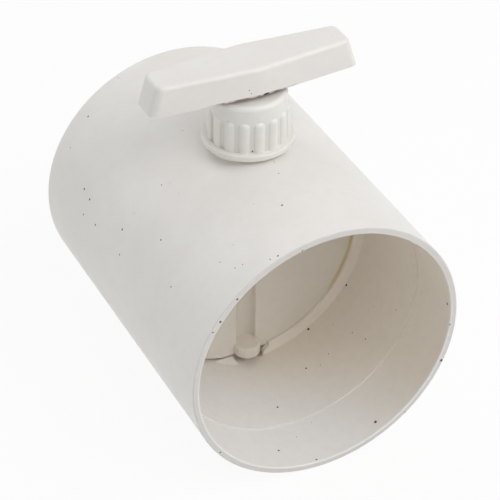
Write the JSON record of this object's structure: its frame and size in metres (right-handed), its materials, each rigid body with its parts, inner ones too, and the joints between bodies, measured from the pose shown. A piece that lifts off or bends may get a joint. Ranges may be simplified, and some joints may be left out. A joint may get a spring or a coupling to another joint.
{
  "type": "manual duct damper",
  "caption": "White plastic duct damper: a short tube with pipe sockets, a butterfly blade on a vertical spindle, a ribbed cap nut and a T-bar handle",
  "frame": {"origin": "centre of the inlet mouth, on the duct's axis", "axes": "+Y runs along the duct from the inlet to the outlet, +Z points from the duct's axis along the spindle to the handle, and +X is to the right when looking along the flow; the handle lies along X at rest, with the blade closed"},
  "size_m": [0.116, 0.145, 0.1545],
  "materials": {
    "body_pvc": "moulded rigid PVC, warm off-white, satin outside",
    "blade_pvc": "moulded rigid PVC, warm off-white, matt",
    "spindle_pvc": "moulded rigid PVC, warm off-white",
    "washer_plastic": "slippery white plastic",
    "seal_rubber": "black rubber",
    "nut_pvc": "moulded rigid PVC, warm off-white, satin",
    "handle_pvc": "moulded rigid PVC, warm off-white, satin"
  },
  "bodies": {
    "housing": {"body": "body_pvc", "thrust_washer": "washer_plastic", "friction_washer": "washer_plastic"},
    "rotor": {"spindle": "spindle_pvc", "blade": "blade_pvc", "handle": "handle_pvc", "lower_o_ring": "seal_rubber", "upper_o_ring": "seal_rubber"},
    "nut": {"cap_nut": "nut_pvc"}
  },
  "joints": [
    {"name": "blade_turn", "type": "hinge", "parent": "housing", "child": "rotor", "pos_m": [0, 0.0706, 0], "axis": [0, 0, 1], "range_deg": [0, 90]},
    {"name": "nut_turn", "type": "hinge", "parent": "housing", "child": "nut", "pos_m": [0, 0.0706, 0.07], "axis": [0, 0, 1], "range_deg": [0, 120]}
  ]
}
